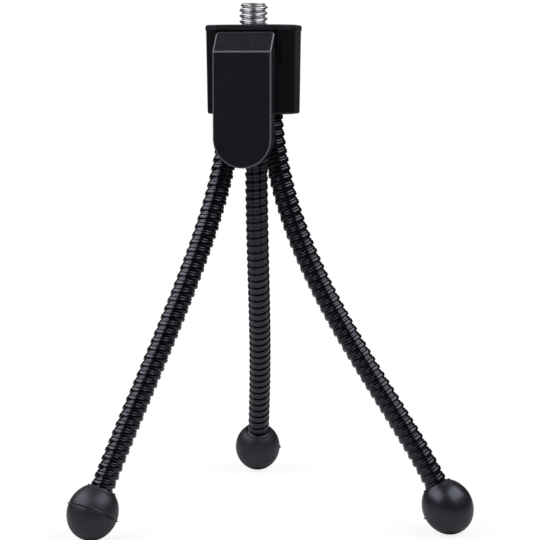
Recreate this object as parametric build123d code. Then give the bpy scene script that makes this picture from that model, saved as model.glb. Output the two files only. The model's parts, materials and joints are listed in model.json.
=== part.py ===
from build123d import *
import math
import os

os.makedirs("parts", exist_ok=True)

# Flexible leg tripod for a small camera, in millimetres.
# A moulded head has a quarter-inch camera stud on top and a hinged spring clip on its front.
# Three gooseneck legs hang from the head, each a string of ribbed links, and end in rubber balls.
# +Z is up, the clip faces -Y, and the origin is on the floor in the middle of the feet.

# Head housing: an open-topped moulded box that narrows downwards
HEAD_UNDERSIDE = 91.0
HEAD_WIDTH = 20.3
HEAD_DEPTH = 14.8
HEAD_HEIGHT = 18.4
HEAD_CORNER_R = 5.0
HEAD_DRAFT_DEG = 0.9
HEAD_WALL = 1.2
HEAD_FLOOR = 2.0
HEAD_EDGE_R = 0.5

# Leg sockets through the head's floor: two in front and one behind
SOCKET_X = 4.8
SOCKET_FRONT_Y = 2.6
SOCKET_REAR_Y = 2.6
COLLAR_WALL = 0.5
SOCKET_FIT = 0.05

# Ferrule crimped round the top of each leg
FERRULE_WALL = 0.4
FERRULE_FIT = 0.05
FERRULE_RECESS = 0.5
FLANGE_OUT = 0.25
FLANGE_THICK = 0.8

# Clamp plate that holds the ferrules down and locks the camera stud's head
CLAMP_RECESS_GAP = 2.9
CLAMP_THICK = 1.3
CLAMP_EDGE_GAP = 0.25
CUP_R = 5.4
CUP_HEIGHT = 1.8
HEX_FIT = 0.1

# Two screws that hold the clamp plate, and the bosses that take them
BOSS_X = 6.4
BOSS_Y = 3.6
BOSS_R = 1.7
PILOT_R = 0.9
PILOT_FLOOR_GAP = 0.4
CLAMP_SCREW_R = 0.85
CLAMP_SCREW_FLOOR_GAP = 1.1
CLAMP_SCREW_HEAD_R = 1.7
CLAMP_SCREW_HEAD = 1.0
CLAMP_HOLE_R = 1.1

# Camera stud: a quarter-inch screw, plain here at the size of its thread's crest
STUD_R = 3.175
STUD_STAND = 4.8
STUD_CHAMFER = 0.6
SHANK_R = 3.0
STUD_FIT = 0.1
STUD_HEX_FLATS = 8.0
STUD_HEX_HEIGHT = 2.4
STUD_HEX_LIFT = 0.1

# Top plate, with a skirt that plugs into the housing and a column down to the stud's head
PLATE_THICK = 1.2
PLATE_OVERHANG = 0.15
PLATE_CHAMFER = 0.3
PLATE_LIP = 0.2
SKIRT_FIT = 0.1
SKIRT_WALL = 0.9
SKIRT_HEIGHT = 1.6
SKIRT_CUT_GAP = 0.25
COLUMN_R = 4.7
COLUMN_GAP = 0.15

# Clip lever: a bevelled thumb tab above the hinge and a long jaw below it
CLIP_WIDTH = 13.2
CLIP_DEPTH = 3.45
CLIP_DROP = 25.4
CLIP_WALL = 1.0
CLIP_EDGE_R = 0.4
CLIP_BACK_GAP = 0.15
CLIP_TOP_GAP = 0.35
CLIP_OPEN_DEG = 18
TAB_RISE = 4.4
TAB_WALL = 1.0
TAB_TOP_OUT = 0.2
EAR_R = 1.2
JAW_BAR_UP = 1.6
JAW_BAR_THICK = 1.0
JAW_BAR_STEP = 5.6
JAW_BARS = 2

# Clip hinge: pin, knuckles on the housing and the recess behind them
PIN_R = 0.5
PIN_OUT = 0.85
PIN_DROP = 0.25
PIN_TIGHT = 0.02
PIN_RUNNING = 0.05
PIN_SHORT = 0.1
KNUCKLE_R = 1.1
KNUCKLE_INNER_X = 3.0
KNUCKLE_OUTER_X = 5.2
RECESS_EAR_GAP = 0.25
RECESS_SIDE_GAP = 0.3
RECESS_BACK_GAP = 0.2
RECESS_LEAN_DEG = 2
RECESS_SIDE_WALL = 1.0
RECESS_BACK_WALL = 0.7
RECESS_FLOOR_DROP = 2.4

# Torsion spring wound round the clip's pin
SPRING_R = 0.95
SPRING_WIRE_R = 0.175
SPRING_SPAN = 4.2
SPRING_ARM = 2.8
SPRING_WHOLE_TURNS = 4
SPRING_LEAST_GAP = 0.4

# Gooseneck leg: ribs that stand for the wound wire, and a ball joint between its links
CREST_R = 2.6
VALLEY_R = 2.15
BORE_R = 1.0
RIB_PITCH = 1.93
RIB_GAP = 1.3
RIB_SLOPE = 0.25
RIBS_PER_LINK = 6
ROOT_TOP_GAP = 0.2
FOOT_RIBS = 5
LINKS = 8
NOSE_R = 1.85
NOSE_FIT = 0.08
FIRST_JOINT_DROP = 2.4
FOOT_LINK = 11.0

# Ball foot, slightly longer along the leg than across it, with ends a little rounder than its middle
BALL_R = 5.55
BALL_HALF_LENGTH = 6.17
BALL_END_R = 5.2
MOUTH_GAP = 0.4
MOUTH_DEPTH = 0.6
FOOT_FIT = 0.05
FOOT_END_GAP = 0.2

# Each leg as it is bent in the standing pose.  Reach and turn place the foot round the head's axis.
# The line leaves the head at a lean from the vertical, and meets the foot at a slope from the floor.
# The two runs say how far it keeps each of these directions, and both follow one compass heading.
LEFT_REACH = 42.5
LEFT_TURN_DEG = -130.9
LEFT_HEADING_DEG = -126.0
LEFT_LEAN_DEG = 6.9
LEFT_HEAD_RUN = 23.6
LEFT_FOOT_RUN = 33.8
LEFT_SLOPE_DEG = 63.2

REAR_REACH = 43.5
REAR_TURN_DEG = 102.8
REAR_HEADING_DEG = 108.8
REAR_LEAN_DEG = 7.3
REAR_HEAD_RUN = 33.6
REAR_FOOT_RUN = 38.8
REAR_SLOPE_DEG = 62.6

RIGHT_REACH = 46.7
RIGHT_TURN_DEG = -11.3
RIGHT_HEADING_DEG = -10.2
RIGHT_LEAN_DEG = 6.0
RIGHT_HEAD_RUN = 35.0
RIGHT_FOOT_RUN = 27.4
RIGHT_SLOPE_DEG = 63.1

ACROSS_SHARE = 0.5
CUT_OVERRUN = 1.0
FIT_ROUNDS = 4
SPRING_SAMPLES = 48

# Heights and faces that several pieces share
HEAD_TOP = HEAD_UNDERSIDE + HEAD_HEIGHT
HEAD_FRONT = -HEAD_DEPTH / 2
FERRULE_INNER_R = CREST_R + FERRULE_FIT
FERRULE_OUTER_R = FERRULE_INNER_R + FERRULE_WALL
SOCKET_R = FERRULE_OUTER_R + SOCKET_FIT
PLATE_TOP = HEAD_TOP + PLATE_THICK
STUD_TOP = PLATE_TOP + STUD_STAND

CLIP_HALF = CLIP_WIDTH / 2
CLIP_BACK = HEAD_FRONT - CLIP_BACK_GAP
CLIP_FRONT = CLIP_BACK - CLIP_DEPTH
CLIP_TOP = HEAD_TOP - CLIP_TOP_GAP
CREASE_Z = CLIP_TOP - TAB_RISE
TIP_Z = CREASE_Z - CLIP_DROP
TAB_TOP_Y = HEAD_FRONT - TAB_TOP_OUT
PIN_Y = HEAD_FRONT - PIN_OUT
PIN_Z = CREASE_Z - PIN_DROP

# Inside the head, the clamp plate sits under the clip's recess, and the rest is set from it
CLAMP_TOP = PIN_Z - RECESS_FLOOR_DROP - CLAMP_RECESS_GAP
CLAMP_UNDERSIDE = CLAMP_TOP - CLAMP_THICK
COLLAR_TOP = CLAMP_UNDERSIDE - FLANGE_THICK
STUD_HEX_BOTTOM = CLAMP_TOP + STUD_HEX_LIFT
STUD_HEX_TOP = STUD_HEX_BOTTOM + STUD_HEX_HEIGHT
PILOT_BOTTOM = HEAD_UNDERSIDE + HEAD_FLOOR + PILOT_FLOOR_GAP
CLAMP_SCREW_BOTTOM = HEAD_UNDERSIDE + HEAD_FLOOR + CLAMP_SCREW_FLOOR_GAP
FIRST_JOINT_Z = HEAD_UNDERSIDE - FIRST_JOINT_DROP

# The tab's slope, and the back corner of its top edge
TAB_RUN = TAB_TOP_Y - CLIP_FRONT
TAB_LENGTH = math.hypot(TAB_RUN, TAB_RISE)
TAB_BACK_Y = TAB_TOP_Y + TAB_WALL * TAB_LENGTH / TAB_RISE

# The recess is as deep as that corner swings when the clip is open, and leans a little further
OPEN_RAD = math.radians(CLIP_OPEN_DEG)
CORNER_SWING = (TAB_BACK_Y - PIN_Y) * math.cos(OPEN_RAD) + (CLIP_TOP - PIN_Z) * math.sin(OPEN_RAD)
RECESS_BACK = PIN_Y + CORNER_SWING + RECESS_BACK_GAP
RECESS_R = EAR_R + RECESS_EAR_GAP
BACK_LEAN_DEG = math.degrees(math.atan2(TAB_BACK_Y - PIN_Y - EAR_R, CLIP_TOP - PIN_Z))
RECESS_LEAN = math.radians(BACK_LEAN_DEG + CLIP_OPEN_DEG + RECESS_LEAN_DEG)
RECESS_HALF = CLIP_HALF + RECESS_SIDE_GAP
BLOCK_BACK = RECESS_BACK + RECESS_BACK_WALL

# The ball's outline: a round end about a point on its axis runs smoothly into a flatter side
BALL_END_OUT = BALL_HALF_LENGTH - BALL_END_R
BALL_SIDE_R = (BALL_R ** 2 + BALL_END_OUT ** 2 - BALL_END_R ** 2) / (2 * (BALL_R - BALL_END_R))
BALL_JOIN_ANGLE = math.atan2(BALL_SIDE_R - BALL_R, BALL_END_OUT)

SOCKETS = {
    "left": (-SOCKET_X, -SOCKET_FRONT_Y),
    "rear": (0, SOCKET_REAR_Y),
    "right": (SOCKET_X, -SOCKET_FRONT_Y),
}


def post(x, y, low, high, radius):
    """Upright round bar between two heights."""
    bar = Cylinder(radius, high - low, align=(Align.CENTER, Align.CENTER, Align.MIN))
    return Pos(x, y, low) * bar


def cross_bar(x_low, x_high, y, z, radius):
    """Round bar along X between two places."""
    bar = Cylinder(radius, x_high - x_low)
    return Pos((x_low + x_high) / 2, y, z) * Rot(0, 90, 0) * bar


def block(x_low, x_high, y_low, y_high, z_low, z_high):
    """Box between two corners."""
    middle = Pos((x_low + x_high) / 2, (y_low + y_high) / 2, (z_low + z_high) / 2)
    return middle * Box(x_high - x_low, y_high - y_low, z_high - z_low)


def side_prism(points, half_width):
    """A closed outline in Y and Z, carried sideways to both sides of the middle."""
    outline = Plane.YZ * Polygon(*points, align=None)
    return extrude(outline, amount=half_width, both=True)


def head_plan(height, inset):
    """The head's outline at a height above its underside, drawn in by inset."""
    drawn_in = inset + (HEAD_HEIGHT - height) * math.tan(math.radians(HEAD_DRAFT_DEG))
    width = HEAD_WIDTH - 2 * drawn_in
    depth = HEAD_DEPTH - 2 * drawn_in
    outline = RectangleRounded(width, depth, HEAD_CORNER_R - drawn_in)
    return Pos(0, 0, HEAD_UNDERSIDE + height) * outline


def head_body(low, high, inset):
    """Solid between two heights above the underside, with the head's outline drawn in."""
    return loft([head_plan(low, inset), head_plan(high, inset)], ruled=True)


def leg_collars():
    """Tubes that stand on the housing's floor round the leg sockets."""
    collars = Part()
    for x, y in SOCKETS.values():
        collars += post(x, y, HEAD_UNDERSIDE + HEAD_FLOOR / 2, COLLAR_TOP, SOCKET_R + COLLAR_WALL)
    return collars


def screw_bosses():
    """Posts for the two clamp screws."""
    bosses = Part()
    for x in (-BOSS_X, BOSS_X):
        bosses += post(x, BOSS_Y, HEAD_UNDERSIDE + HEAD_FLOOR / 2, CLAMP_UNDERSIDE, BOSS_R)
    return bosses


def clip_recess():
    """Space that the ears and the thumb tab need as the clip swings."""
    tangent_y = PIN_Y + RECESS_R * math.cos(RECESS_LEAN)
    tangent_z = PIN_Z - RECESS_R * math.sin(RECESS_LEAN)
    rise = (RECESS_BACK - tangent_y) / math.tan(RECESS_LEAN)
    top = HEAD_TOP + CUT_OVERRUN
    points = [
        (PIN_Y, PIN_Z),
        (tangent_y, tangent_z),
        (RECESS_BACK, tangent_z + rise),
        (RECESS_BACK, top),
        (PIN_Y, top),
    ]
    return side_prism(points, RECESS_HALF) + cross_bar(-RECESS_HALF, RECESS_HALF, PIN_Y, PIN_Z, RECESS_R)


def knuckles():
    """Two lugs that hold the clip's pin, webbed back into the recess."""
    lugs = Part()
    low = PIN_Z - KNUCKLE_R
    high = PIN_Z + KNUCKLE_R
    for x_low, x_high in ((-KNUCKLE_OUTER_X, -KNUCKLE_INNER_X), (KNUCKLE_INNER_X, KNUCKLE_OUTER_X)):
        lugs += cross_bar(x_low, x_high, PIN_Y, PIN_Z, KNUCKLE_R)
        lugs += block(x_low, x_high, PIN_Y, RECESS_BACK, low, high)
    return lugs


def head_housing():
    """Moulded box with its collars, bosses, clip recess and knuckles."""
    shell = head_body(0, HEAD_HEIGHT, 0)
    shell = fillet(shell.faces().sort_by(Axis.Z)[0].edges(), HEAD_EDGE_R)
    shell -= head_body(HEAD_FLOOR, HEAD_HEIGHT + CUT_OVERRUN, HEAD_WALL)
    shell += leg_collars() + screw_bosses()
    half = RECESS_HALF + RECESS_SIDE_WALL
    shell += block(-half, half, HEAD_FRONT + HEAD_WALL / 2, BLOCK_BACK, PIN_Z - RECESS_FLOOR_DROP, HEAD_TOP)
    shell -= clip_recess()
    shell += knuckles()
    shell -= cross_bar(-KNUCKLE_OUTER_X - CUT_OVERRUN, KNUCKLE_OUTER_X + CUT_OVERRUN,
                       PIN_Y, PIN_Z, PIN_R + PIN_TIGHT)
    for x, y in SOCKETS.values():
        shell -= post(x, y, HEAD_UNDERSIDE - CUT_OVERRUN, COLLAR_TOP + CUT_OVERRUN, SOCKET_R)
    for x in (-BOSS_X, BOSS_X):
        shell -= post(x, BOSS_Y, PILOT_BOTTOM, CLAMP_UNDERSIDE + CUT_OVERRUN, PILOT_R)
    return shell


def top_plate():
    """Cover that the camera sits on, with its skirt and the column round the stud."""
    outline = head_plan(HEAD_HEIGHT, -PLATE_OVERHANG)
    lip_front = HEAD_FRONT - PLATE_LIP
    lip = Pos(0, lip_front / 2, HEAD_TOP) * Rectangle(CLIP_WIDTH, -lip_front)
    plate = extrude(outline + lip, amount=PLATE_THICK)
    plate = chamfer(plate.faces().sort_by(Axis.Z)[-1].edges(), PLATE_CHAMFER)
    skirt = head_body(HEAD_HEIGHT - SKIRT_HEIGHT, HEAD_HEIGHT, HEAD_WALL + SKIRT_FIT)
    skirt -= head_body(HEAD_HEIGHT - SKIRT_HEIGHT - CUT_OVERRUN, HEAD_HEIGHT + CUT_OVERRUN,
                       HEAD_WALL + SKIRT_FIT + SKIRT_WALL)
    skirt -= block(-HEAD_WIDTH, HEAD_WIDTH, -HEAD_DEPTH, BLOCK_BACK + SKIRT_CUT_GAP,
                   HEAD_TOP - SKIRT_HEIGHT - CUT_OVERRUN, HEAD_TOP)
    column = post(0, 0, STUD_HEX_TOP, HEAD_TOP, COLUMN_R)
    column -= block(-COLUMN_R, COLUMN_R, -HEAD_DEPTH, BLOCK_BACK + COLUMN_GAP, STUD_HEX_TOP, HEAD_TOP)
    bore = post(0, 0, STUD_HEX_TOP - CUT_OVERRUN, PLATE_TOP + CUT_OVERRUN, STUD_R + STUD_FIT)
    return plate + skirt + column - bore


def camera_screw():
    """Stud with a chamfered tip, a plain shank through the plate and a hexagon head inside."""
    stud = post(0, 0, PLATE_TOP, STUD_TOP, STUD_R)
    stud = chamfer(stud.faces().sort_by(Axis.Z)[-1].edges(), STUD_CHAMFER)
    shank = post(0, 0, STUD_HEX_TOP, PLATE_TOP, SHANK_R)
    hexagon = RegularPolygon(STUD_HEX_FLATS / 2, side_count=6, major_radius=False)
    return stud + shank + extrude(Pos(0, 0, STUD_HEX_BOTTOM) * hexagon, amount=STUD_HEX_HEIGHT)


def leg_clamp_plate():
    """Plate that presses on the ferrule flanges, with a six-sided cup for the stud's head."""
    inset = HEAD_WALL + CLAMP_EDGE_GAP
    low = CLAMP_UNDERSIDE - HEAD_UNDERSIDE
    plate = head_body(low, low + CLAMP_THICK, inset)
    plate += post(0, 0, CLAMP_TOP, CLAMP_TOP + CUP_HEIGHT, CUP_R)
    hexagon = RegularPolygon(STUD_HEX_FLATS / 2 + HEX_FIT, side_count=6, major_radius=False)
    plate -= extrude(Pos(0, 0, CLAMP_TOP) * hexagon, amount=CUP_HEIGHT + CUT_OVERRUN)
    for x in (-BOSS_X, BOSS_X):
        plate -= post(x, BOSS_Y, CLAMP_UNDERSIDE - CUT_OVERRUN, CLAMP_TOP + CUT_OVERRUN, CLAMP_HOLE_R)
    return plate


def clamp_screws():
    """The pair of small screws through the clamp plate."""
    screws = Part()
    for x in (-BOSS_X, BOSS_X):
        shank = post(x, BOSS_Y, CLAMP_SCREW_BOTTOM, CLAMP_TOP, CLAMP_SCREW_R)
        screws += shank + post(x, BOSS_Y, CLAMP_TOP, CLAMP_TOP + CLAMP_SCREW_HEAD, CLAMP_SCREW_HEAD_R)
    return screws


def leg_ferrule(x, y):
    """Sleeve round the leg's top, with a flange that rests on the collar."""
    sleeve = post(x, y, HEAD_UNDERSIDE + FERRULE_RECESS, CLAMP_UNDERSIDE, FERRULE_OUTER_R)
    sleeve += post(x, y, COLLAR_TOP, CLAMP_UNDERSIDE, FERRULE_OUTER_R + FLANGE_OUT)
    return sleeve - post(x, y, HEAD_UNDERSIDE, CLAMP_UNDERSIDE + CUT_OVERRUN, FERRULE_INNER_R)


def clip_outline(inset):
    """Front view of the lever: straight sides down to a half-round end, drawn in by inset."""
    tip_centre = TIP_Z + CLIP_HALF
    half = CLIP_HALF - inset
    sides = Pos(0, (tip_centre + CLIP_TOP) / 2) * Rectangle(2 * half, CLIP_TOP - tip_centre)
    outline = sides + Pos(0, tip_centre) * Circle(half)
    return extrude(Plane.XZ * outline, amount=HEAD_DEPTH)


def clip_shape():
    """The lever's outside: its front view cut to its side view, with the outer rim rounded."""
    side = [
        (TAB_TOP_Y, CLIP_TOP),
        (CLIP_FRONT, CREASE_Z),
        (CLIP_FRONT, TIP_Z),
        (CLIP_BACK, TIP_Z),
        (CLIP_BACK, PIN_Z),
        (PIN_Y + EAR_R, PIN_Z),
        (TAB_BACK_Y, CLIP_TOP),
    ]
    shape = clip_outline(0) & side_prism(side, CLIP_WIDTH)
    fronts = shape.faces().sort_by(Axis.Y)[:2]
    rim = [edge for face in fronts for edge in face.edges() if abs(edge.tangent_at(0).X) < ACROSS_SHARE]
    return fillet(rim, CLIP_EDGE_R)


def clip_hollow():
    """Space inside the lever: open at the back, and closed by the face and the tab."""
    inner_face = CLIP_FRONT + CLIP_WALL
    inner_crease = CLIP_TOP - (TAB_BACK_Y - inner_face) * TAB_RISE / TAB_RUN
    side = [
        (inner_face, TIP_Z),
        (inner_face, inner_crease),
        (TAB_BACK_Y, CLIP_TOP),
        (0, CLIP_TOP),
        (0, TIP_Z),
    ]
    return clip_outline(CLIP_WALL) & side_prism(side, CLIP_WIDTH)


def clip_lever():
    """Hollow moulded lever with its hinge ears and the bars across its jaw."""
    lever = clip_shape() - clip_hollow()
    inner_half = CLIP_HALF - CLIP_WALL
    for side in (-1, 1):
        ends = sorted((side * inner_half, side * CLIP_HALF))
        lever += cross_bar(ends[0], ends[1], PIN_Y, PIN_Z, EAR_R)
    for bar in range(JAW_BARS):
        low = HEAD_UNDERSIDE + JAW_BAR_UP + bar * JAW_BAR_STEP
        lever += block(-inner_half, inner_half, CLIP_FRONT + CLIP_WALL / 2, CLIP_BACK, low, low + JAW_BAR_THICK)
    return lever - cross_bar(-CLIP_WIDTH, CLIP_WIDTH, PIN_Y, PIN_Z, PIN_R + PIN_RUNNING)


def clip_pin():
    """Pin through the lever's ears and the housing's knuckles."""
    half = CLIP_HALF - PIN_SHORT
    return cross_bar(-half, half, PIN_Y, PIN_Z, PIN_R)


def spring_turning():
    """Start angle and total turn of the spring's wire round the pin, in radians."""
    start = -RECESS_LEAN
    end = math.atan2(TAB_RUN, -TAB_RISE)
    return start, (start - end) % (2 * math.pi) + 2 * math.pi * SPRING_WHOLE_TURNS


def spring_point(share):
    """Place and direction on the spring's helix, from its first turn to its last."""
    start, turning = spring_turning()
    angle = start - share * turning
    place = Vector((share - 0.5) * SPRING_SPAN,
                   PIN_Y + SPRING_R * math.cos(angle),
                   PIN_Z + SPRING_R * math.sin(angle))
    along = Vector(SPRING_SPAN, SPRING_R * turning * math.sin(angle), -SPRING_R * turning * math.cos(angle))
    return place, along.normalized()


def biarc(start, start_along, end, end_along):
    """Two arcs that join two places and keep the direction at each."""
    chord = end - start
    both = start_along + end_along
    square = 4 - both.dot(both)
    reach = chord.dot(both)
    handle = (math.sqrt(reach * reach + square * chord.dot(chord)) - reach) / square
    middle_along = (end - end_along * handle) - (start + start_along * handle)
    middle = start + start_along * handle + middle_along * 0.5
    first = TangentArc(start, middle, tangent=start_along)
    second = TangentArc(middle, end, tangent=middle_along.normalized())
    return [first, second]


def clip_spring():
    """Torsion spring: an arm on the housing, the turns round the pin and an arm on the tab."""
    turning = spring_turning()[1]
    steps = math.ceil(turning / (math.pi / 2))
    places = [spring_point(step / steps) for step in range(steps + 1)]
    first_end = places[0][0] - places[0][1] * SPRING_ARM
    last_end = places[-1][0] + places[-1][1] * SPRING_ARM
    edges = [Line(first_end, places[0][0])]
    for (start, start_along), (end, end_along) in zip(places, places[1:]):
        edges += biarc(start, start_along, end, end_along)
    edges.append(Line(places[-1][0], last_end))
    section = Plane(origin=first_end, z_dir=places[0][1]) * Circle(SPRING_WIRE_R)
    return sweep(section, path=Wire(edges))


def spring_gap():
    """Least space between one turn of the spring's wire and the next, measured on points."""
    turns = spring_turning()[1] / (2 * math.pi)
    count = round(turns * SPRING_SAMPLES)
    points = [spring_point(index / count)[0] for index in range(count + 1)]
    half_turn = SPRING_SAMPLES // 2
    gaps = [
        (points[low] - points[high]).length
        for low in range(count + 1)
        for high in range(low + half_turn, count + 1)
    ]
    return min(gaps) - 2 * SPRING_WIRE_R


def rib_rings(start, ribs, pitch):
    """Heights and radii of the rings, four to a rib, from the first crest to the last."""
    crest = pitch - RIB_GAP
    rings = []
    for rib in range(ribs):
        low = start + rib * pitch
        high = low + crest
        if rib > 0:
            rings += [(low - RIB_GAP + RIB_SLOPE, VALLEY_R), (low - RIB_SLOPE, VALLEY_R)]
        rings += [(low, CREST_R), (high, CREST_R)]
    return rings


def ribbed_rod(start, ribs, pitch):
    """Ruled solid through the rings of a row of ribs."""
    sections = [Pos(0, 0, height) * Circle(radius) for height, radius in rib_rings(start, ribs, pitch)]
    return loft(sections, ruled=True)


def joint_cup(height):
    """Hollow for the next link's nose, centred on the joint."""
    return Pos(0, 0, height) * Sphere(NOSE_R + NOSE_FIT)


def leg_bore(length):
    """Hole down the middle of a link, past both of its ends."""
    return post(0, 0, -NOSE_R - CUT_OVERRUN, length + CUT_OVERRUN, BORE_R)


def root_link():
    """Fixed top of a leg, from just under the clamp plate down to its cup."""
    length = CLAMP_UNDERSIDE - ROOT_TOP_GAP - FIRST_JOINT_Z
    ribs = round((length + RIB_GAP / 2) / RIB_PITCH)
    pitch = (length + RIB_GAP / 2) / ribs
    return ribbed_rod(0, ribs, pitch) - joint_cup(length) - leg_bore(length), length


def middle_link(length):
    """Link with a nose at its upper joint and a cup at its lower one."""
    rod = ribbed_rod(RIB_GAP / 2, RIBS_PER_LINK, length / RIBS_PER_LINK) + Sphere(NOSE_R)
    return rod - joint_cup(length) - leg_bore(length)


def foot_link():
    """Last link, whose lower ribs are glued into the ball."""
    return ribbed_rod(RIB_GAP / 2, FOOT_RIBS, RIB_PITCH) + Sphere(NOSE_R) - leg_bore(FOOT_LINK)


def ball_end_point(angle):
    """Point on the round end of the ball's outline, at an angle from its axis."""
    return BALL_END_R * math.sin(angle), BALL_END_OUT + BALL_END_R * math.cos(angle)


def ball_foot():
    """Rubber ball round the leg's end, with a mouth a little wider than the leg."""
    join = ball_end_point(BALL_JOIN_ANGLE)
    half = ball_end_point(BALL_JOIN_ANGLE / 2)
    outline = Curve() + [
        ThreePointArc((0, BALL_HALF_LENGTH), half, join),
        ThreePointArc(join, (BALL_R, 0), (join[0], -join[1])),
        ThreePointArc((join[0], -join[1]), (half[0], -half[1]), (0, -BALL_HALF_LENGTH)),
        Line((0, -BALL_HALF_LENGTH), (0, BALL_HALF_LENGTH)),
    ]
    ball = Pos(0, 0, FOOT_LINK) * revolve(Plane.XZ * make_face(outline), axis=Axis.Z)
    mouth_r = CREST_R + MOUTH_GAP
    mouth_height = BALL_END_OUT + math.sqrt(BALL_END_R ** 2 - mouth_r ** 2)
    mouth_floor = FOOT_LINK - mouth_height + MOUTH_DEPTH
    leg_end = FOOT_RIBS * RIB_PITCH - RIB_GAP / 2
    ball -= post(0, 0, 0, mouth_floor, mouth_r)
    return ball - post(0, 0, 0, leg_end + FOOT_END_GAP, CREST_R + FOOT_FIT)


def heading(turn_deg, climb_deg):
    """Direction at a compass turn from +X, climbing above the horizontal."""
    turn = math.radians(turn_deg)
    climb = math.radians(climb_deg)
    return Vector(math.cos(turn) * math.cos(climb), math.sin(turn) * math.cos(climb), math.sin(climb))


def ball_reach(axis, way):
    """How far the ball's surface lies from its centre along a direction."""
    along = abs(axis.dot(way))
    if along > math.cos(BALL_JOIN_ANGLE):
        return BALL_END_OUT * along + BALL_END_R
    return BALL_SIDE_R - (BALL_SIDE_R - BALL_R) * math.sqrt(1 - along ** 2)


def leg_joints(socket, reach, turn_deg, compass_deg, lean_deg, head_run, foot_run, slope_deg):
    """Joint centres from the head down and then the ball's centre, with the ball on the floor."""
    first = Vector(socket[0], socket[1], FIRST_JOINT_Z)
    height = BALL_R
    for _ in range(FIT_ROUNDS):
        foot = heading(turn_deg, 0) * reach + Vector(0, 0, height)
        line = Bezier(
            first,
            first + heading(compass_deg, lean_deg - 90) * head_run,
            foot - heading(compass_deg, -slope_deg) * foot_run,
            foot,
        )
        link = (line.length - FOOT_LINK) / (LINKS - 1)
        joints = [line.position_at(index * link, position_mode=PositionMode.LENGTH) for index in range(LINKS)]
        height = ball_reach((foot - joints[-1]).normalized(), Vector(0, 0, 1))
    return joints + [foot]


def link_place(start, end, side):
    """Frame at a joint that looks along its link, with its x axis to one side."""
    return Plane(origin=start, x_dir=side, z_dir=end - start).location


def bend_axis(start, end, turn_deg, sideways):
    """Hinge axis of a joint: outwards and inwards, or to the side, square to the link."""
    along = (end - start).normalized()
    splay = along.cross(heading(turn_deg, 0)).normalized()
    return along.cross(splay).normalized() if sideways else splay


LEG_LINES = {
    "left": leg_joints(SOCKETS["left"], LEFT_REACH, LEFT_TURN_DEG, LEFT_HEADING_DEG, LEFT_LEAN_DEG,
                       LEFT_HEAD_RUN, LEFT_FOOT_RUN, LEFT_SLOPE_DEG),
    "rear": leg_joints(SOCKETS["rear"], REAR_REACH, REAR_TURN_DEG, REAR_HEADING_DEG, REAR_LEAN_DEG,
                       REAR_HEAD_RUN, REAR_FOOT_RUN, REAR_SLOPE_DEG),
    "right": leg_joints(SOCKETS["right"], RIGHT_REACH, RIGHT_TURN_DEG, RIGHT_HEADING_DEG, RIGHT_LEAN_DEG,
                        RIGHT_HEAD_RUN, RIGHT_FOOT_RUN, RIGHT_SLOPE_DEG),
}
LEG_HEADINGS = {"left": LEFT_HEADING_DEG, "rear": REAR_HEADING_DEG, "right": RIGHT_HEADING_DEG}


def feet_middle():
    """Centre of the box round the three balls, seen from above."""
    middles = []
    for way in (Vector(1, 0, 0), Vector(0, 1, 0)):
        lows = []
        highs = []
        for line in LEG_LINES.values():
            reach = ball_reach((line[-1] - line[-2]).normalized(), way)
            lows.append(line[-1].dot(way) - reach)
            highs.append(line[-1].dot(way) + reach)
        middles.append((min(lows) + max(highs)) / 2)
    return middles


def leg_nodes(name):
    """Every solid of one leg, from the ferrule to the ball."""
    line = LEG_LINES[name]
    x, y = SOCKETS[name]
    root, root_length = root_link()
    top = Vector(x, y, line[0].Z + root_length)
    nodes = {
        f"{name}_leg_ferrule": leg_ferrule(x, y),
        f"{name}_gooseneck_root": link_place(top, line[0], Vector(1, 0, 0)) * root,
    }
    for index in range(LINKS):
        start, end = line[index], line[index + 1]
        place = link_place(start, end, bend_axis(start, end, LEG_HEADINGS[name], False))
        link = middle_link((end - start).length) if index < LINKS - 1 else foot_link()
        nodes[f"{name}_gooseneck_{index + 1}"] = place * link
    nodes[f"{name}_foot_ball"] = place * ball_foot()
    return nodes


def print_joints(shift_x, shift_y):
    """Joint centres and axes in the part's own frame, for whoever poses it."""
    print(f"hinge clip {-shift_x:.6f} {PIN_Y - shift_y:.6f} {PIN_Z:.6f} -1 0 0")
    for name, line in LEG_LINES.items():
        for index in range(LINKS):
            start, end = line[index], line[index + 1]
            axis = bend_axis(start, end, LEG_HEADINGS[name], index % 2 == 1)
            place = f"{start.X - shift_x:.6f} {start.Y - shift_y:.6f} {start.Z:.6f}"
            print(f"hinge {name}_{index + 1} {place} {axis.X:.15f} {axis.Y:.15f} {axis.Z:.15f}")


def main():
    nodes = {
        "head_housing": head_housing(),
        "top_plate": top_plate(),
        "camera_screw": camera_screw(),
        "leg_clamp_plate": leg_clamp_plate(),
        "clamp_screws": clamp_screws(),
        "clip_lever": clip_lever(),
        "clip_pin": clip_pin(),
        "clip_spring": clip_spring(),
    }
    for name in LEG_LINES:
        nodes.update(leg_nodes(name))
    middle_x, middle_y = feet_middle()
    for name, solid in nodes.items():
        export_step(Pos(-middle_x, -middle_y, 0) * solid, f"parts/{name}.step")
    print(f"{len(nodes)} nodes, stud top {STUD_TOP:.2f}, head axis at {-middle_x:.3f} {-middle_y:.3f}")
    gap = spring_gap()
    print(f"least gap between the spring's turns {gap:.3f}, more than {SPRING_LEAST_GAP}: {gap > SPRING_LEAST_GAP}")
    print_joints(middle_x, middle_y)


main()
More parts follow.
